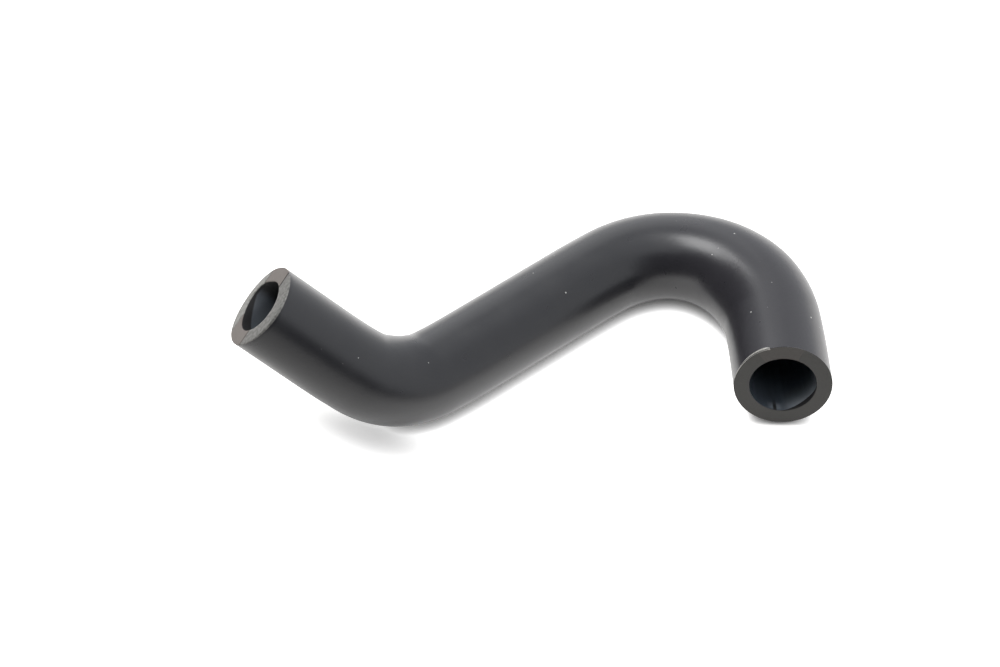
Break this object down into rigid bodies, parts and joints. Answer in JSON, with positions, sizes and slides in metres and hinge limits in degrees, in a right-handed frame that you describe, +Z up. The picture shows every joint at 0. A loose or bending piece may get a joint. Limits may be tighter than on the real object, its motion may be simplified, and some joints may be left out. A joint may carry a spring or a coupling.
{
  "type": "formed coolant hose",
  "caption": "Formed black rubber hose that carries coolant round two bends between two spigots of different diameter; lies on a table.",
  "frame": {"origin": "centre of the bounding box's bottom face, on the table", "axes": "+Z up from the table, +X along the hose's longest extent, and the widened end opens towards -Y"},
  "size_m": [0.1692, 0.0722, 0.0554],
  "materials": {
    "black_rubber": "satin"
  },
  "bodies": {
    "root": {"hose": "black_rubber"}
  },
  "joints": []
}
